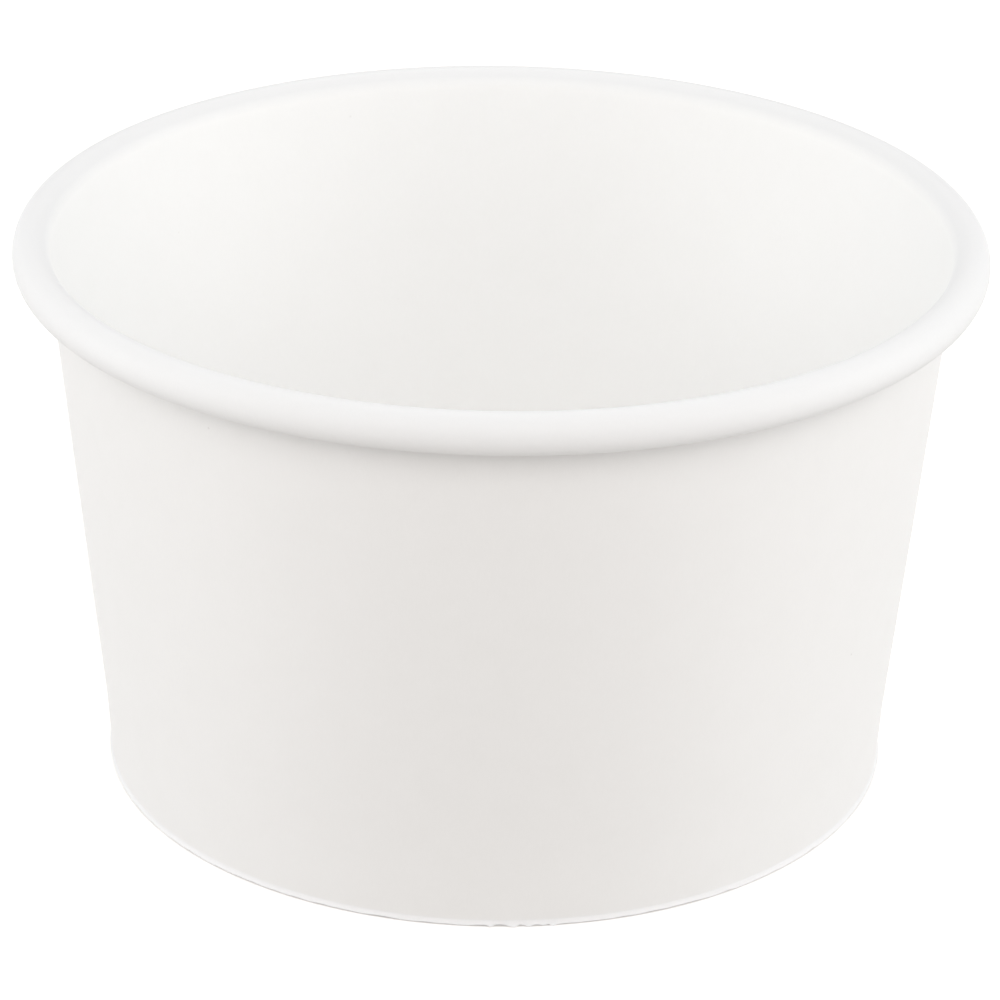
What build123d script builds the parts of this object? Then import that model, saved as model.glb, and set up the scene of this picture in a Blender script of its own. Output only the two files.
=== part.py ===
from build123d import *

import os
from math import atan2, cos, degrees, pi, sin, tan

# Paperboard food cup: a tapered side wall, rolled outwards at the rim and folded under at the foot,
# and a bottom disc whose skirt the foot's fold holds. The cup stands on Z = 0 with its axis on Z.
# Sections are drawn on the XZ plane as the middle line of the board, with X as the radius.

# Driving dimensions, in millimetres
rim_diameter = 96.0  # outside of the rolled rim
cup_height = 56.6  # table to the top of the rim
foot_diameter = 79.1  # outside of the wall, carried down to the table
band_diameter = 80.0  # outside of the wall at the floor's level
floor_recess = 6.6  # table to the underside of the floor
wall_board = 0.40  # thickness of the side wall's board
floor_board = 0.32  # thickness of the bottom disc's board
seal_film = 0.02  # coating between two boards that are welded together

# Rolled rim
rim_width = 3.73  # inside of the wall to the outer edge of the rim
rim_depth = 3.96  # top of the rim to its underside
roll_gap = 0.06  # room between one turn of the roll and the next
roll_turns = 1  # how far the board is rolled, until its end stands beside the wall
turn_steps = 12  # short straight runs in a full turn

# Foot
fold_share = 0.26  # each corner of the fold, as a share of the fold's width
corner_cut = 0.5  # the floor turns down into its skirt across this much
hem_margin = 1.0  # the folded-up hem ends this far below the floor's turn
skirt_margin = 0.3  # room between the skirt's edge and the fold below it

# Side seam, where the two ends of the wall's blank overlap
lap_width = 6.5  # width of the overlap
lap_climb = 6.0  # stretch over which the outer end climbs onto the inner one
lap_margin = 1.0  # the lap stops this far above the foot's fold and below the rim
lap_angle = 152.0  # where the outer end's cut edge stands, in degrees from +X

# Upright band round the foot: wall, skirt and hem lie one inside the other, all with the same lean
foot_radius = foot_diameter / 2
band_top = floor_recess + floor_board
band_lean = atan2(band_diameter / 2 - foot_radius, band_top)
pocket_width = floor_board + 2 * seal_film
fold_width = pocket_width + wall_board
fold_corner = fold_share * fold_width
fold_level = wall_board / 2
wall_depth = wall_board / 2
skirt_depth = wall_board + pocket_width / 2
hem_depth = wall_depth + fold_width
floor_level = floor_recess + floor_board / 2
turn_level = floor_level - corner_cut


def band_line(depth, height):
    """The radius, at a height, of the line that lies a depth inside the band's outer face."""
    return foot_radius + height * tan(band_lean) - depth / cos(band_lean)


# Rolled rim: an oval spiral that closes by one board and one gap in each turn
roll_pitch = wall_board + roll_gap
corner_reach = wall_board / 2 / cos(pi / turn_steps)
half_width = (rim_width - wall_board / 2 - corner_reach + roll_pitch / 2) / 2
half_depth = (rim_depth - 2 * corner_reach + roll_pitch) / 2
roll_centre = rim_diameter / 2 - corner_reach - half_width + roll_pitch / 2
roll_level = cup_height - corner_reach - half_depth + roll_pitch / 4


def roll_point(turns):
    """The point that the roll's middle line reaches after so many turns, from the wall's top over the rim."""
    closing = roll_pitch * turns
    angle = 2 * pi * turns
    return (
        roll_centre - (half_width - closing) * cos(angle),
        roll_level + (half_depth - closing) * sin(angle),
    )


# Tapered wall, from the top of the band to the start of the roll
band_corner = (band_line(wall_depth, band_top), band_top)
wall_top = roll_point(0)
wall_slope = (wall_top[0] - band_corner[0]) / (wall_top[1] - band_corner[1])

# Side wall: one sheet from the hem, round the fold, up the wall and over into the roll
with BuildPart() as side_wall:
    hem_top = turn_level - hem_margin
    fold_top = fold_level + fold_corner
    hem_foot = band_line(hem_depth, fold_level)
    wall_foot = band_line(wall_depth, fold_level)
    roll_steps = round(roll_turns * turn_steps)
    with BuildSketch(Plane.XZ):
        with BuildLine():
            Polyline(
                (band_line(hem_depth, hem_top), hem_top),
                (band_line(hem_depth, fold_top), fold_top),
                (hem_foot + fold_corner, fold_level),
                (wall_foot - fold_corner, fold_level),
                (band_line(wall_depth, fold_top), fold_top),
                band_corner,
                *(roll_point(step / turn_steps) for step in range(roll_steps + 1)),
            )
        trace(line_width=wall_board)
    revolve(axis=Axis.Z)

    # Outer end of the blank, from its cut edge to where it has climbed down to the wall again
    lap_foot = fold_top + lap_margin
    lap_head = cup_height - rim_depth - lap_margin
    for height, middle in (
        (lap_foot, band_line(wall_depth, lap_foot)),
        band_corner[::-1],
        (lap_head, band_corner[0] + wall_slope * (lap_head - band_top)),
    ):
        lap_radius = middle + wall_board / 2 + wall_board
        lap_turn = degrees(lap_width / middle)
        climb_turn = degrees(lap_climb / middle)
        with BuildSketch(Plane.XY.offset(height)):
            with BuildLine():
                outer = CenterArc((0, 0), lap_radius, lap_angle, lap_turn)
                inner = CenterArc((0, 0), middle, lap_angle, lap_turn + climb_turn)
                Line(inner @ 0, outer @ 0)
                Line(outer @ 1, inner @ 1)
            make_face()
    loft(ruled=True)

# Bottom disc: a flat floor with its edge turned down into a skirt
with BuildPart() as bottom_disc:
    skirt_end = wall_board + skirt_margin
    with BuildSketch(Plane.XZ):
        with BuildLine():
            Polyline(
                (0, floor_level),
                (band_line(skirt_depth, floor_level) - corner_cut, floor_level),
                (band_line(skirt_depth, turn_level), turn_level),
                (band_line(skirt_depth, skirt_end), skirt_end),
            )
        trace(line_width=floor_board)
    revolve(axis=Axis.Z)

os.makedirs("parts", exist_ok=True)
side_wall.part.label = "side_wall"
export_step(side_wall.part, "parts/side_wall.step")
bottom_disc.part.label = "bottom_disc"
export_step(bottom_disc.part, "parts/bottom_disc.step")
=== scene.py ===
"""A white paperboard food cup: its rolled and folded side wall, its bottom disc and its studio."""

import logging
import math
from dataclasses import dataclass, replace
from enum import IntEnum

import bmesh
import bpy
from mathutils import Matrix, Vector, noise

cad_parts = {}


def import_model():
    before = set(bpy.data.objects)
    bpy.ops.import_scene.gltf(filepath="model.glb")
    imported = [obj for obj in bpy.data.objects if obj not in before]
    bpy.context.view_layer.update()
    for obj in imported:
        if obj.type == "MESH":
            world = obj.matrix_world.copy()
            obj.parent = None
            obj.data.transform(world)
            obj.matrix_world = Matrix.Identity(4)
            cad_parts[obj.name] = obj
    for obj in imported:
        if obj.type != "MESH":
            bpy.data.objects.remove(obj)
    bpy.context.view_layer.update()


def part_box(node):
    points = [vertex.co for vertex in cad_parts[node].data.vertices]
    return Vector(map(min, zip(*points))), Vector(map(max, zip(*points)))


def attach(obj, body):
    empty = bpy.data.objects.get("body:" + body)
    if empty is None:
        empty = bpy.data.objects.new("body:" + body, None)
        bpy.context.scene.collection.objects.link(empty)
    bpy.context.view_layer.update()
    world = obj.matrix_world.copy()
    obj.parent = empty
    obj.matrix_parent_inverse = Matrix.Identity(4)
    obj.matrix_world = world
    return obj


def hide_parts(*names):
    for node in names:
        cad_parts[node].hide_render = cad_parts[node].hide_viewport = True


log = logging.getLogger("food_cup")

MM = 0.001
BODY = "root"
MERGE_DISTANCE = 0.002 * MM
FULL_TURN = 2 * math.pi
SHARP_ANGLE = math.radians(35)
PHOTO_PIXELS = 1000
LAP_LAYER = "lap"
RIB_LAYER = "rib"
# The vertex layer that masks the painted shade on the rim's roll and the painted light on the fold at the
# foot.
PAINTED_LIGHT_AND_SHADE_LAYER = "painted_light_and_shade"

Colour = tuple[float, float, float]
OpaqueColour = tuple[float, float, float, float]

BLACK: Colour = (0.0, 0.0, 0.0)
WHITE: Colour = (1.0, 1.0, 1.0)
COOL_WHITE: Colour = (0.975, 0.992, 1.0)
WARM_WHITE: Colour = (1.0, 0.955, 0.925)


def opaque(colour: Colour) -> OpaqueColour:
    """Adds to red, green and blue the full alpha that a node's colour input takes."""
    return (*colour, 1.0)


class BoardFace(IntEnum):
    """The faces of a sheet of board, as the numbers of their material slots."""

    FOOD_SIDE = 0
    OUTSIDE = 1
    CUT_EDGE = 2


class NodeBench:
    """Lays out the nodes of a material or a world and joins them."""

    def __init__(self, tree: bpy.types.NodeTree) -> None:
        """Takes over the node tree of a material or a world, emptied."""
        self.tree = tree
        tree.nodes.clear()

    def feed(self, socket: bpy.types.NodeSocket, value: object) -> None:
        """Gives an input what it takes.

        Args:
            socket: the input.
            value: a value, or the socket that feeds it.
        """
        if isinstance(value, bpy.types.NodeSocket):
            self.tree.links.new(value, socket)
        else:
            socket.default_value = value

    def add(
        self, kind: str, inputs: dict[str | int, object] | None = None, **settings: object
    ) -> bpy.types.Node:
        """Adds a node.

        Args:
            kind: the node's type name.
            inputs: for each input, by name or place, a value or the socket that feeds it.
            settings: the node's own properties.

        Returns:
            The new node.
        """
        node = self.tree.nodes.new(kind)
        for name, value in settings.items():
            setattr(node, name, value)
        for name, value in (inputs or {}).items():
            self.feed(node.inputs[name], value)
        return node

    def math(self, operation: str, *values: float | bpy.types.NodeSocket) -> bpy.types.NodeSocket:
        """Adds a Math node, fed with numbers or sockets, and gives its result's socket."""
        return self.add("ShaderNodeMath", dict(enumerate(values)), operation=operation).outputs[0]

    def ramp(
        self, value: bpy.types.NodeSocket, span: tuple[float, float], result: tuple[float, float]
    ) -> bpy.types.NodeSocket:
        """Carries a value from one range to another, held at its ends.

        Args:
            value: the socket that is carried over.
            span: the two ends of its range.
            result: what the two ends become.

        Returns:
            The result's socket.
        """
        low, high = span
        to_low, to_high = result
        inputs = {"Value": value, "From Min": low, "From Max": high, "To Min": to_low, "To Max": to_high}
        return self.add("ShaderNodeMapRange", inputs).outputs["Result"]

    def blend(
        self,
        share: bpy.types.NodeSocket,
        first: OpaqueColour | bpy.types.NodeSocket,
        second: OpaqueColour | bpy.types.NodeSocket,
    ) -> bpy.types.NodeSocket:
        """Mixes two colours.

        Args:
            share: how much of the second colour shows.
            first: a colour or its socket.
            second: a colour or its socket.

        Returns:
            The mixed colour's socket.
        """
        inputs = {"Factor": share, "A": first, "B": second}
        node = self.add("ShaderNodeMix", data_type="RGBA")
        for socket in node.inputs:
            if socket.enabled and socket.name in inputs:
                self.feed(socket, inputs[socket.name])
        return next(s for s in node.outputs if s.enabled)

    def seen_directly(self) -> bpy.types.NodeSocket:
        """Tells what the camera, gloss and glass show from what lights the cup.

        Returns:
            The socket, at 1 for what is shown and at 0 for the light on the cup.
        """
        path = self.add("ShaderNodeLightPath")
        shown = self.math("MAXIMUM", path.outputs["Is Camera Ray"], path.outputs["Is Glossy Ray"])
        return self.math("MAXIMUM", shown, path.outputs["Is Transmission Ray"])


@dataclass(frozen=True)
class BoardFinish:
    """How a face of the paperboard looks: its tone, its clouded sheet, its fibres and its coating."""

    name: str
    colour: Colour
    cloud_colour: Colour
    roughness: float
    gloss: float
    relief: float
    # A second colour laid over the mask layer as painted shade on the rim's roll or painted light on the fold
    # at the foot, and the span of the layer over which it comes in.
    painted_light_and_shade_colour: Colour | None = None
    painted_light_and_shade_span: tuple[float, float] = (0.02, 0.22)
    fibre_width: float = 0.16 * MM
    fibre_length: float = 0.7 * MM
    fibre_detail: float = 2.0
    fibre_distortion: float = 0.6
    fibre_span: tuple[float, float] = (0.3, 0.7)
    fibre_tone: float = 0.010
    fibre_roughness: tuple[float, float] = (0.06, -0.04)
    cloud_size: float = 4.0 * MM
    cloud_detail: float = 2.0
    cloud_span: tuple[float, float] = (0.35, 0.7)
    speck_spacing: float = 7.5 * MM
    speck_radius: float = 0.16 * MM
    speck_core: float = 1 / 3
    speck_colour: Colour = (0.62, 0.60, 0.58)
    speck_strength: float = 0.45

    def material(self) -> bpy.types.Material:
        """Builds the finish as a material.

        Returns:
            The material.
        """
        made = bpy.data.materials.new(self.name)
        made.use_nodes = True
        bench = NodeBench(made.node_tree)
        place = bench.add("ShaderNodeTexCoord").outputs["Object"]
        grain = bench.add(
            "ShaderNodeMapping",
            {"Vector": place, "Scale": (1 / self.fibre_width, 1 / self.fibre_width, 1 / self.fibre_length)},
        ).outputs["Vector"]
        fibres = bench.add(
            "ShaderNodeTexNoise",
            {"Vector": grain, "Scale": 1.0, "Detail": self.fibre_detail, "Distortion": self.fibre_distortion},
        ).outputs["Fac"]
        in_hollow, on_fibre = (self.roughness + change for change in self.fibre_roughness)
        roughness = bench.ramp(fibres, self.fibre_span, (in_hollow, on_fibre))
        bump = bench.add("ShaderNodeBump", {"Height": fibres, "Distance": self.relief, "Strength": 1.0})
        shader = bench.add(
            "ShaderNodeBsdfPrincipled",
            {
                "Base Color": self.tone(bench, place, fibres),
                "Roughness": roughness,
                "Specular IOR Level": self.gloss,
                "Normal": bump.outputs["Normal"],
            },
        )
        bench.add("ShaderNodeOutputMaterial", {"Surface": shader.outputs["BSDF"]})
        return made

    def tone(
        self, bench: NodeBench, place: bpy.types.NodeSocket, fibres: bpy.types.NodeSocket
    ) -> bpy.types.NodeSocket:
        """Lays the board's colour: clouds, painted shade on the rim's roll or painted light on the fold at
        the foot, fibres and a few specks.

        Args:
            bench: the material's nodes.
            place: the place on the piece.
            fibres: the height of the fibres there.

        Returns:
            The colour's socket.
        """
        cloud = bench.add(
            "ShaderNodeTexNoise",
            {"Vector": place, "Scale": 1 / self.cloud_size, "Detail": self.cloud_detail},
        ).outputs["Fac"]
        clouds = bench.ramp(cloud, self.cloud_span, (0.0, 1.0))
        tone = bench.blend(clouds, opaque(self.colour), opaque(self.cloud_colour))
        # Painted shade and light: the mask layer lays a darker colour on the rim's roll and a lighter, cooler
        # one on the fold at the foot.
        if self.painted_light_and_shade_colour:
            painted_light_and_shade = bench.add("ShaderNodeAttribute", attribute_name=PAINTED_LIGHT_AND_SHADE_LAYER).outputs["Fac"]
            share = bench.ramp(painted_light_and_shade, self.painted_light_and_shade_span, (0.0, 1.0))
            tone = bench.blend(share, tone, opaque(self.painted_light_and_shade_colour))
        hollows = bench.ramp(fibres, self.fibre_span, (self.fibre_tone, 0.0))
        tone = bench.blend(hollows, tone, opaque(BLACK))
        speck_distance = bench.add(
            "ShaderNodeTexVoronoi", {"Vector": place, "Scale": 1 / self.speck_spacing}
        ).outputs["Distance"]
        speck_reach = self.speck_radius / self.speck_spacing
        speck_span = (speck_reach * self.speck_core, speck_reach)
        specks = bench.ramp(speck_distance, speck_span, (self.speck_strength, 0.0))
        return bench.blend(specks, tone, opaque(self.speck_colour))


FOOD_SIDE = BoardFinish(
    name="coated_board_food_side",
    colour=(0.943, 0.945, 0.941),
    cloud_colour=(0.939, 0.941, 0.936),
    roughness=0.52,
    gloss=0.28,
    relief=0.004 * MM,
    speck_strength=0.2,
)
# Painted shade: the rim's roll is painted greyer than the rest of the food side.
FOOD_SIDE_WITH_PAINTED_ROLL_SHADE = replace(FOOD_SIDE, name="coated_board_painted_roll_shade", painted_light_and_shade_colour=(0.842, 0.849, 0.857))
OUTSIDE = BoardFinish(
    name="coated_board_outside",
    colour=(0.876, 0.877, 0.877),
    cloud_colour=(0.870, 0.871, 0.870),
    roughness=0.56,
    gloss=0.26,
    relief=0.005 * MM,
)
# Painted light: the fold at the foot is painted a little lighter and cooler, for the light it takes from the
# bright floor.
OUTSIDE_WITH_PAINTED_FOOT_LIGHT = replace(OUTSIDE, name="coated_board_painted_foot_light", painted_light_and_shade_colour=(0.875, 0.881, 0.893))
CUT_EDGE = BoardFinish(
    name="raw_board_edge",
    colour=(0.86, 0.835, 0.78),
    cloud_colour=(0.80, 0.77, 0.70),
    roughness=0.85,
    gloss=0.2,
    relief=0.02 * MM,
    fibre_tone=0.08,
)


class SectionPen:
    """Draws the line of a sheet's section as a chain of vertices, with X as radius and Z as height."""

    def __init__(self, radius: float, height: float) -> None:
        """Sets the pen down.

        Args:
            radius: where the line starts, from the axis.
            height: where the line starts, above the table.
        """
        self.mesh = bmesh.new()
        self.lap = self.mesh.verts.layers.float.new(LAP_LAYER)
        self.rib = self.mesh.verts.layers.float.new(RIB_LAYER)
        # Masks the painted shade on the rim's roll and the painted light on the fold at the foot.
        self.painted_light_and_shade = self.mesh.verts.layers.float.new(PAINTED_LIGHT_AND_SHADE_LAYER)
        self.tip = self.mesh.verts.new((radius, 0, height))

    def run_to(
        self,
        radius: float,
        height: float,
        steps: int = 1,
        lap: float = 0.0,
        rib: float = 0.0,
        painted_light_and_shade: float = 0.0,
    ) -> None:
        """Draws a straight run to a point.

        Args:
            radius: where the run ends, from the axis.
            height: where the run ends, above the table.
            steps: the number of equal stretches in the run.
            lap: the share of the side seam's lap that the run carries.
            rib: the share of the hem's ribs that the run carries.
            painted_light_and_shade: how far the board is folded there, which sets the painted light on the
                fold at the foot.
        """
        stride = (Vector((radius, 0, height)) - self.tip.co) / steps
        for _ in range(steps):
            self.tip = bmesh.ops.extrude_vert_indiv(self.mesh, verts=[self.tip])["verts"][0]
            bmesh.ops.translate(self.mesh, verts=[self.tip], vec=stride)
            self.tip[self.lap] = lap
            self.tip[self.rib] = rib
            self.tip[self.painted_light_and_shade] = painted_light_and_shade

    def turn(
        self, radius: float, height: float, angle: float, steps: int, oval: float = 1.0, painted_light_and_shade: float = 0.0
    ) -> None:
        """Draws a round stretch about a centre, which may be drawn out or pressed into an oval.

        Args:
            radius: the centre, from the axis.
            height: the centre, above the table.
            angle: how far the line turns, clockwise as seen with the axis on the left.
            steps: the number of stretches in the turn.
            oval: how much taller than round the turn is.
            painted_light_and_shade: the half turns of the rim's roll that the line has made at the turn's
                end, which set the painted shade on the roll.
        """
        centre = Vector((radius, 0, height))
        flatten = Matrix.Diagonal((1, 1, 1 / oval, 1))
        first = len(self.mesh.verts)
        bmesh.ops.transform(self.mesh, matrix=flatten, space=Matrix.Translation(-centre), verts=[self.tip])
        start = self.tip
        spun = bmesh.ops.spin(
            self.mesh, geom=[self.tip], cent=centre, axis=(0, 1, 0), angle=angle, steps=steps, use_merge=False
        )
        self.tip = next(v for v in spun["geom_last"] if isinstance(v, bmesh.types.BMVert))
        self.mesh.verts.ensure_lookup_table()
        drawn = [start, *self.mesh.verts[first:]]
        bmesh.ops.scale(self.mesh, vec=(1, 1, oval), space=Matrix.Translation(-centre), verts=drawn)
        painted_light_and_shade_before = start[self.painted_light_and_shade]
        for step, vert in enumerate(drawn):
            vert[self.painted_light_and_shade] = painted_light_and_shade_before + (painted_light_and_shade - painted_light_and_shade_before) * step / steps

    def sweep(self, start_angle: float, stretches: list[tuple[float, int]]) -> bmesh.types.BMesh:
        """Turns the section once round the axis.

        Args:
            start_angle: where the turn starts, from +X.
            stretches: the angle of each stretch of the turn and its number of steps, a full turn together.

        Returns:
            The sheet's face as a bmesh, with its seam and its pole closed.
        """
        mesh = self.mesh
        to_start = Matrix.Rotation(start_angle, 3, "Z")
        bmesh.ops.rotate(mesh, cent=(0, 0, 0), matrix=to_start, verts=mesh.verts[:])
        ring = mesh.verts[:] + mesh.edges[:]
        for angle, steps in stretches:
            ring = bmesh.ops.spin(
                mesh, geom=ring, cent=(0, 0, 0), axis=(0, 0, 1), angle=angle, steps=steps, use_merge=False
            )["geom_last"]
        bmesh.ops.remove_doubles(mesh, verts=mesh.verts[:], dist=MERGE_DISTANCE)
        bmesh.ops.dissolve_degenerate(mesh, edges=mesh.edges[:], dist=MERGE_DISTANCE)
        bmesh.ops.recalc_face_normals(mesh, faces=mesh.faces[:])
        return mesh


@dataclass
class BoardPiece:
    """A piece of the cup that is cut from one sheet of board."""

    name: str
    node: str
    slot: str
    board: float
    finishes: tuple[BoardFinish, ...]

    def thicken(self, mesh: bmesh.types.BMesh) -> list[bmesh.types.BMVert]:
        """Gives the sheet its thickness, away from the face that was drawn, and marks its faces.

        Args:
            mesh: the drawn face, which is the one towards the food.

        Returns:
            The vertices of the other face.
        """
        drawn = set(mesh.verts)
        bmesh.ops.solidify(mesh, geom=mesh.faces[:], thickness=self.board)
        made = [v for v in mesh.verts if v not in drawn]
        fresh = set(made)
        for face in mesh.faces:
            new = sum(v in fresh for v in face.verts)
            if new == 0:
                face.material_index = BoardFace.FOOD_SIDE
            elif new == len(face.verts):
                face.material_index = BoardFace.OUTSIDE
            else:
                face.material_index = BoardFace.CUT_EDGE
            face.smooth = True
        return made

    def finish_piece(self, mesh: bmesh.types.BMesh) -> bpy.types.Object:
        """Makes the bmesh an object that stands for its CAD node.

        Args:
            mesh: the closed sheet.

        Returns:
            The object.
        """
        if mesh.calc_volume(signed=True) < 0:
            bmesh.ops.reverse_faces(mesh, faces=mesh.faces[:])
        for layer in (LAP_LAYER, RIB_LAYER):
            mesh.verts.layers.float.remove(mesh.verts.layers.float[layer])
        data = bpy.data.meshes.new(self.name)
        mesh.to_mesh(data)
        mesh.free()
        data.set_sharp_from_angle(angle=SHARP_ANGLE)
        for finish in self.finishes:
            data.materials.append(finish.material())
        piece = bpy.data.objects.new(self.name, data)
        bpy.context.scene.collection.objects.link(piece)
        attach(piece, BODY)
        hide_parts(self.node)
        log.info("%s: stands for %s, %d faces", self.name, self.node, len(data.polygons))
        return piece


@dataclass
class SideWall(BoardPiece):
    """The side wall: folded in and up at the foot, lapped at its side seam and rolled outwards at the rim."""

    rim_radius: float
    height: float
    floor_top: float
    foot_radius: float = 39.55 * MM
    band_radius: float = 40.0 * MM
    pocket: float = 0.36 * MM
    rim_width: float = 3.73 * MM
    rim_depth: float = 3.96 * MM
    roll_gap: float = 0.06 * MM
    hem_top: float = 5.26 * MM
    hem_end_share: float = 1 / 6
    flare: float = 0.22 * MM
    flare_top: float = 0.60 * MM
    flare_blend: float = 0.12 * MM
    fold_round: float = 0.16 * MM
    fold_round_steps: int = 3
    lap_angle: float = math.radians(152)
    lap_width: float = 6.5 * MM
    lap_climb: float = 6.0 * MM
    cut_edge_width: float = 0.03 * MM
    lap_margin: float = 1.0 * MM
    lap_head_share: float = 1 / 3
    lap_end_share: float = 1 / 7
    rib_count: int = 96
    rib_height: float = 0.10 * MM
    foot_lift: float = 0.16 * MM
    foot_bias: float = 0.38
    foot_wave: float = 1.7 * MM
    nicks: tuple[tuple[float, float], ...] = (
        (math.radians(-88.5), 0.9 * MM),
        (math.radians(-85.6), 0.5 * MM),
        (math.radians(-82.2), 0.5 * MM),
    )
    nick_depth: float = 0.30 * MM
    nick_lift: float = 0.20 * MM
    columns: int = 540
    hem_steps: int = 2
    band_steps: int = 3
    wall_steps: int = 12
    roll_steps: tuple[int, int] = (26, 24)

    @property
    def lap_turn(self) -> float:
        """The angle that the seam's lap takes up."""
        return self.lap_width / self.band_radius

    @property
    def climb_turn(self) -> float:
        """The angle in which the outer end of the blank climbs onto the inner one."""
        return self.lap_climb / self.band_radius

    @property
    def band_lean(self) -> float:
        """The angle at which the upright band round the foot leans outwards."""
        return math.atan2(self.band_radius - self.foot_radius, self.floor_top)

    @property
    def fold_middle(self) -> float:
        """The radius of the middle of the fold, on which the cup stands."""
        return self.foot_radius - self.board - self.pocket / 2

    def band_face(self, depth: float, height: float) -> float:
        """The radius, at a height, of the line that lies a depth inside the band's outer face."""
        return self.foot_radius + height * math.tan(self.band_lean) - depth / math.cos(self.band_lean)

    def section(self) -> SectionPen:
        """Draws the sheet's food side, from the hem round the fold and up the wall into the roll.

        Returns:
            The pen, with the section in its mesh.
        """
        hem_depth = self.board + self.pocket
        fold_level = self.board
        flare_start = self.flare_top + self.flare_blend
        lap_foot = flare_start + self.lap_margin

        # The roll is an oval spiral of two half turns; the wall runs straight into it
        half_pitch = (self.board + self.roll_gap) / 2
        oval = self.rim_depth / (self.rim_width - half_pitch)
        roll_level = self.height - oval * self.rim_width / 2
        wall_top = self.rim_radius - self.rim_width
        wall_foot = self.band_face(self.board, self.floor_top)
        slope = (wall_top - wall_foot) / (roll_level - self.floor_top)
        first_radius = self.rim_width / (1 + math.hypot(1, slope * oval))
        second_radius = first_radius - half_pitch
        first_centre = self.rim_radius - first_radius
        second_centre = self.rim_radius - second_radius
        start_turn = math.atan(slope * oval)
        roll_start = roll_level + oval * first_radius * math.sin(start_turn)
        lap_head = roll_level - self.rim_depth * self.lap_head_share
        lap_end = roll_level - self.rim_depth * self.lap_end_share

        def wall_face(height: float) -> float:
            """The radius of the wall's food side at a height."""
            return wall_foot + slope * (height - self.floor_top)

        pen = SectionPen(self.band_face(hem_depth, self.hem_top), self.hem_top)
        hem_end = (self.hem_top - fold_level) * self.hem_end_share
        rib_top = self.hem_top - hem_end
        rib_foot = fold_level + hem_end
        pen.run_to(self.band_face(hem_depth, rib_top), rib_top, rib=1.0)
        pen.run_to(self.band_face(hem_depth, rib_foot), rib_foot, steps=self.hem_steps, rib=1.0)
        pen.run_to(self.band_face(hem_depth, fold_level), fold_level)
        # The fold at the foot carries the painted light.
        pen.run_to(self.band_face(self.board, fold_level), fold_level, painted_light_and_shade=1.0)
        pen.run_to(self.band_face(self.board, self.flare_top), self.flare_top, painted_light_and_shade=1.0)
        pen.run_to(self.band_face(self.board, flare_start), flare_start)
        pen.run_to(self.band_face(self.board, lap_foot), lap_foot, lap=1.0)
        pen.run_to(wall_foot, self.floor_top, steps=self.band_steps, lap=1.0)
        pen.run_to(wall_face(lap_head), lap_head, steps=self.wall_steps, lap=1.0)
        pen.run_to(wall_face(lap_end), lap_end)
        pen.run_to(wall_face(roll_start), roll_start)
        first_steps, second_steps = self.roll_steps
        # The roll carries the painted shade.
        pen.turn(first_centre, roll_level, math.pi - start_turn, first_steps, oval=oval, painted_light_and_shade=1.0)
        pen.turn(second_centre, roll_level, math.pi, second_steps, oval=oval, painted_light_and_shade=2.0)
        return pen

    def seam_rise(self, angle: float) -> float:
        """How far the outer end of the blank has climbed onto the inner one.

        Args:
            angle: the direction from the axis, from +X.

        Returns:
            A share of the board's thickness.
        """
        past_edge = (angle - self.lap_angle) % FULL_TURN
        left = self.lap_turn + self.climb_turn - past_edge
        return min(1.0, max(0.0, left / self.climb_turn))

    def nick_share(self, angle: float) -> float:
        """How deep in a nick of the fold's edge a direction is.

        Args:
            angle: the direction from the axis, from +X.

        Returns:
            1 in the middle of a nick, falling to 0 at its ends.
        """
        share = 0.0
        for middle, half_width in self.nicks:
            away = abs((angle - middle + math.pi) % FULL_TURN - math.pi) * self.foot_radius
            share = max(share, 1 - away / half_width)
        return share

    def flare_foot(
        self, mesh: bmesh.types.BMesh, outside: list[bmesh.types.BMVert]
    ) -> list[bmesh.types.BMVert]:
        """Presses the fold's outer edge a little outwards, nicks it, takes the painted light off the nicks
        and rounds it.

        Args:
            mesh: the closed sheet.
            outside: the vertices of its outer face.

        Returns:
            The vertices of the outer face after that.
        """
        painted_light_and_shade = mesh.verts.layers.float[PAINTED_LIGHT_AND_SHADE_LAYER]
        edge = {v for v in outside if v.co.z < self.board / 2 and v.co.xy.length > self.fold_middle}
        for vert in outside:
            nick = self.nick_share(math.atan2(vert.co.y, vert.co.x))
            # In a nick, the painted light on the fold is taken away.
            if vert.co.z < self.floor_top:
                vert[painted_light_and_shade] *= 1 - nick
            if vert in edge:
                vert.co.xy += vert.co.xy.normalized() * (self.flare - self.nick_depth * nick)
        kept = [v for v in outside if v not in edge]
        rounded = bmesh.ops.bevel(
            mesh,
            geom=[e for e in mesh.edges if edge.issuperset(e.verts)],
            offset=self.fold_round,
            segments=self.fold_round_steps,
            profile=0.5,
            affect="EDGES",
            material=-1,
        )
        return kept + rounded["verts"]

    def foot_rise(self, radius: float, direction: Vector) -> float:
        """How far the fold's underside stands off the table.

        Args:
            radius: the distance from the axis.
            direction: the direction from the axis, of length 1.

        Returns:
            The height, which is nothing from the fold's middle inwards.
        """
        outward = (radius - self.fold_middle) / (self.foot_radius - self.fold_middle)
        swell = noise.noise(direction * (self.foot_radius / self.foot_wave))
        nick = self.nick_share(math.atan2(direction.y, direction.x))
        lift = self.foot_lift * max(0.0, self.foot_bias + swell) + self.nick_lift * nick
        return lift * min(1.0, max(0.0, outward))

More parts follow.
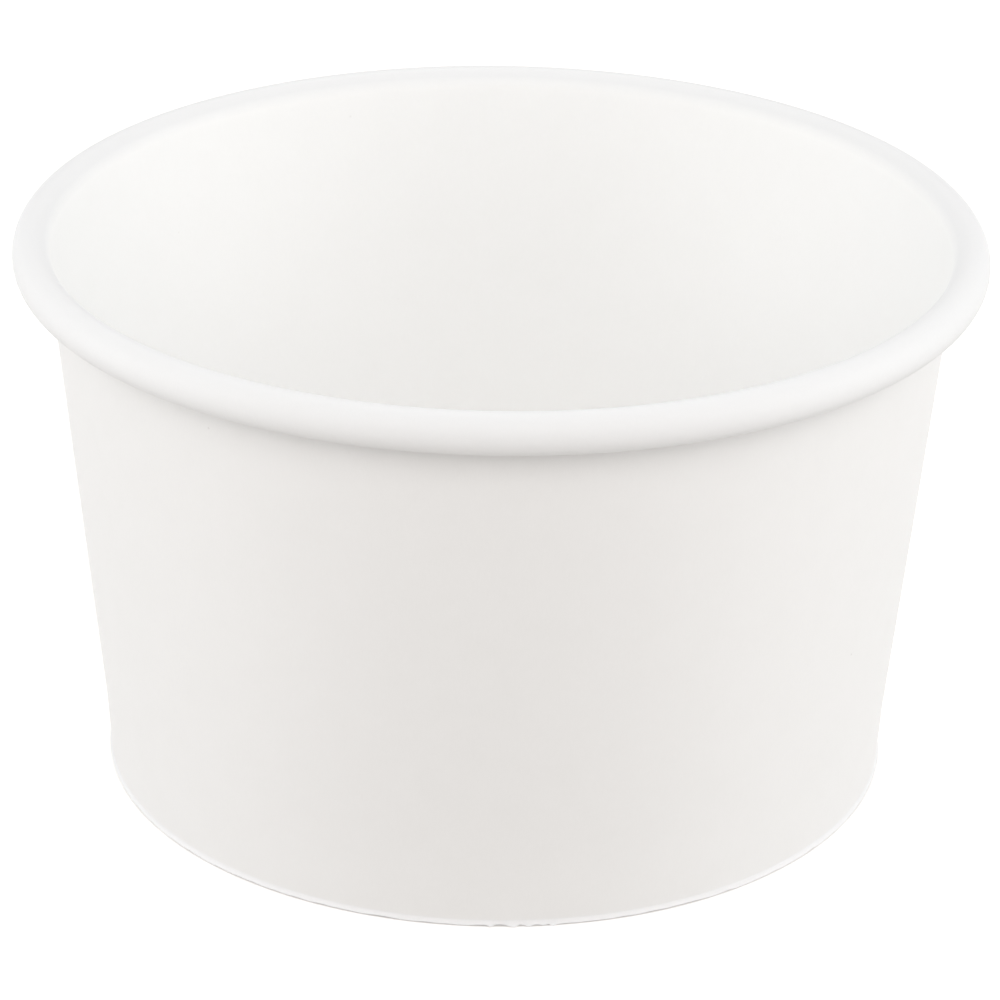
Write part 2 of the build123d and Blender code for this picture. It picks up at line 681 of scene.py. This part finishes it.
    def work_outside(self, mesh: bmesh.types.BMesh, outside: list[bmesh.types.BMVert]) -> None:
        """Raises the seam's lap, presses the hem's ribs and lets the fold's edge stand a little unevenly.

        Args:
            mesh: the closed sheet.
            outside: the vertices of its outer face.
        """
        lap = mesh.verts.layers.float[LAP_LAYER]
        rib = mesh.verts.layers.float[RIB_LAYER]
        for vert in outside:
            angle = math.atan2(vert.co.y, vert.co.x)
            direction = Vector((math.cos(angle), math.sin(angle), 0))
            ridge = (1 + math.cos(self.rib_count * angle)) / 2
            raised = vert[lap] * self.seam_rise(angle) * self.board
            vert.co += direction * (raised - vert[rib] * ridge * self.rib_height)
            vert.co.z = max(0.0, vert.co.z)
            if vert.co.z < self.board:
                lift = self.foot_rise(vert.co.xy.length, direction)
                vert.co.z += lift * (1 - vert.co.z / self.board)

    def build(self) -> bpy.types.Object:
        """Makes the side wall.

        Returns:
            The finished piece.
        """
        edge_turn = self.cut_edge_width / self.band_radius
        rest_turn = FULL_TURN - self.lap_turn - self.climb_turn - edge_turn
        lap_columns = round(self.columns * self.lap_turn / FULL_TURN)
        climb_columns = round(self.columns * self.climb_turn / FULL_TURN)
        mesh = self.section().sweep(
            self.lap_angle,
            [
                (self.lap_turn, lap_columns),
                (self.climb_turn, climb_columns),
                (rest_turn, self.columns - lap_columns - climb_columns),
                (edge_turn, 1),
            ],
        )
        self.work_outside(mesh, self.flare_foot(mesh, self.thicken(mesh)))
        return self.finish_piece(mesh)


@dataclass
class BottomDisc(BoardPiece):
    """The bottom disc: a flat floor with its edge turned down into a skirt."""

    wall: SideWall
    film: float = 0.02 * MM
    corner_radius: float = 0.5 * MM
    skirt_end: float = 0.7 * MM
    columns: int = 240
    floor_steps: int = 12
    corner_steps: int = 8
    skirt_steps: int = 3

    def build(self) -> bpy.types.Object:
        """Makes the bottom disc.

        Returns:
            The finished piece.
        """
        wall = self.wall
        depth = wall.board + self.film
        corner_level = wall.floor_top - self.corner_radius
        corner = wall.band_face(depth, corner_level) - self.corner_radius / math.cos(wall.band_lean)
        pen = SectionPen(0, wall.floor_top)
        pen.run_to(corner, wall.floor_top, steps=self.floor_steps)
        pen.turn(corner, corner_level, math.pi / 2 + wall.band_lean, steps=self.corner_steps)
        pen.run_to(wall.band_face(depth, self.skirt_end), self.skirt_end, steps=self.skirt_steps)
        mesh = pen.sweep(0, [(FULL_TURN, self.columns)])
        self.thicken(mesh)
        return self.finish_piece(mesh)


@dataclass(frozen=True)
class Softbox:
    """A square or oblong lamp with a soft, even face."""

    name: str
    place: tuple[float, float, float]
    size: tuple[float, float]
    radiance: float
    colour: Colour = WHITE
    aim: tuple[float, float, float] = (0.0, 0.0, 0.03)

    def build(self) -> bpy.types.Object:
        """Hangs the lamp.

        Returns:
            The lamp's object.
        """
        lamp = bpy.data.lights.new(self.name, "AREA")
        lamp.shape = "RECTANGLE"
        width, length = self.size
        lamp.size = width
        lamp.size_y = length
        lamp.energy = self.radiance * math.pi * width * length
        lamp.color = self.colour
        hung = bpy.data.objects.new(self.name, lamp)
        hung.location = self.place
        hung.rotation_euler = (Vector(self.aim) - Vector(self.place)).to_track_quat("-Z", "Y").to_euler()
        bpy.context.scene.collection.objects.link(hung)
        return hung


@dataclass
class Studio:
    """A white floor, an even fill, and softboxes and low strips of light round the cup."""

    floor_radius: float = 3.0
    floor_sides: int = 64
    floor_colour: Colour = (0.66, 0.64, 0.62)
    floor_glow: float = 0.52
    shade_glow: float = 0.24
    shade_radius: float = 39.5 * MM
    shade_blend: float = 0.4 * MM
    fill_colour: Colour = (1.0, 0.98, 0.96)
    fill: float = 0.43
    lamps: tuple[Softbox, ...] = (
        Softbox(
            "left_softbox", place=(-0.77, -0.12, 0.39), size=(0.75, 0.68), radiance=1.90, colour=COOL_WHITE
        ),
        Softbox(
            "right_softbox", place=(0.77, -0.12, 0.39), size=(0.75, 0.68), radiance=2.02, colour=COOL_WHITE
        ),
        Softbox("left_strip", place=(-0.5, 0.0, 0.028), size=(0.4, 0.05), radiance=2.3, colour=COOL_WHITE),
        Softbox("right_strip", place=(0.5, 0.0, 0.028), size=(0.4, 0.05), radiance=2.6, colour=COOL_WHITE),
        Softbox(
            "front_softbox", place=(0.0, -0.68, 0.60), size=(1.0, 0.4), radiance=2.28, colour=WARM_WHITE
        ),
        Softbox("back_softbox", place=(0.0, 0.62, 0.72), size=(0.66, 0.45), radiance=1.7),
    )

    def build(self) -> None:
        """Lays the floor, sets the fill and hangs the lamps."""
        self.lay_floor()
        self.set_fill()
        for lamp in self.lamps:
            lamp.build()

    def lay_floor(self) -> bpy.types.Object:
        """Lays a white floor that shows the cup's shadow, with a painted shadow: it glows less in a disc
        under the cup that reaches just past its foot.

        Returns:
            The floor's object.
        """
        mesh = bmesh.new()
        bmesh.ops.create_circle(mesh, cap_ends=True, radius=self.floor_radius, segments=self.floor_sides)
        data = bpy.data.meshes.new("floor")
        mesh.to_mesh(data)
        mesh.free()
        made = bpy.data.materials.new("white_floor")
        made.use_nodes = True
        bench = NodeBench(made.node_tree)
        matt = bench.add("ShaderNodeBsdfDiffuse", {"Color": opaque(self.floor_colour)})
        place = bench.add("ShaderNodeTexCoord").outputs["Object"]
        distance = bench.add("ShaderNodeVectorMath", {0: place}, operation="LENGTH").outputs["Value"]
        # Painted shadow: the glow that the camera sees is turned down in a disc under the cup, which darkens
        # the floor in the gap under the fold's edge.
        shade_end = self.shade_radius + self.shade_blend
        glow_there = bench.ramp(
            distance, (self.shade_radius, shade_end), (self.shade_glow, self.floor_glow)
        )
        shown = bench.math("MULTIPLY", bench.seen_directly(), glow_there)
        glow = bench.add("ShaderNodeEmission", {"Strength": shown})
        both = bench.add("ShaderNodeAddShader", {0: matt.outputs[0], 1: glow.outputs[0]})
        bench.add("ShaderNodeOutputMaterial", {"Surface": both.outputs[0]})
        data.materials.append(made)
        floor = bpy.data.objects.new("floor", data)
        bpy.context.scene.collection.objects.link(floor)
        return floor

    def set_fill(self) -> None:
        """Sets an even light from all sides, which shows as white behind the cup."""
        world = bpy.data.worlds.new("studio")
        world.use_nodes = True
        bench = NodeBench(world.node_tree)
        fill = bench.add("ShaderNodeBackground", {"Color": opaque(self.fill_colour), "Strength": self.fill})
        white = bench.add("ShaderNodeBackground", {"Color": opaque(WHITE), "Strength": 1.0})
        both = bench.add(
            "ShaderNodeMixShader", {0: bench.seen_directly(), 1: fill.outputs[0], 2: white.outputs[0]}
        )
        bench.add("ShaderNodeOutputWorld", {"Surface": both.outputs[0]})
        bpy.context.scene.world = world


@dataclass(frozen=True)
class PhotoCamera:
    """The camera at the photograph's place, found by fitting the cup's outline."""

    focal_pixels: float = 4271.2
    distance: float = 433.0 * MM
    elevation: float = math.radians(25.096)
    roll: float = math.radians(0.857)
    aim: tuple[float, float, float] = (0.227 * MM, 0.0, 26.447 * MM)
    sensor: float = 36.0

    def build(self) -> bpy.types.Object:
        """Sets the camera up and makes it the scene's own.

        Returns:
            The camera's object.
        """
        data = bpy.data.cameras.new("photo_camera")
        data.sensor_width = self.sensor
        data.lens = self.focal_pixels / PHOTO_PIXELS * self.sensor
        back = Vector((0, -math.cos(self.elevation), math.sin(self.elevation)))
        camera = bpy.data.objects.new("photo_camera", data)
        camera.location = Vector(self.aim) + back * self.distance
        turned = (-back).to_track_quat("-Z", "Y").to_matrix() @ Matrix.Rotation(self.roll, 3, "Z")
        camera.rotation_euler = turned.to_euler()
        bpy.context.scene.collection.objects.link(camera)
        bpy.context.scene.camera = camera
        return camera


def main() -> None:
    """Builds the cup round the frame, then the studio and the camera."""
    logging.basicConfig(level=logging.INFO, format="%(name)s: %(message)s")
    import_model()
    wall_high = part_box("side_wall")[1]
    floor_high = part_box("bottom_disc")[1]

    wall = SideWall(
        name="rolled_side_wall",
        node="side_wall",
        slot="wall_board",
        board=0.40 * MM,
        finishes=(FOOD_SIDE_WITH_PAINTED_ROLL_SHADE, OUTSIDE_WITH_PAINTED_FOOT_LIGHT, CUT_EDGE),
        rim_radius=wall_high.x,
        height=wall_high.z,
        floor_top=floor_high.z,
    )
    wall.build()
    BottomDisc(
        name="skirted_bottom",
        node="bottom_disc",
        slot="floor_board",
        board=0.32 * MM,
        finishes=(FOOD_SIDE, OUTSIDE, CUT_EDGE),
        wall=wall,
    ).build()
    Studio().build()
    PhotoCamera().build()

    bpy.context.scene.view_settings.view_transform = "Standard"


if __name__ == "__main__":
    main()
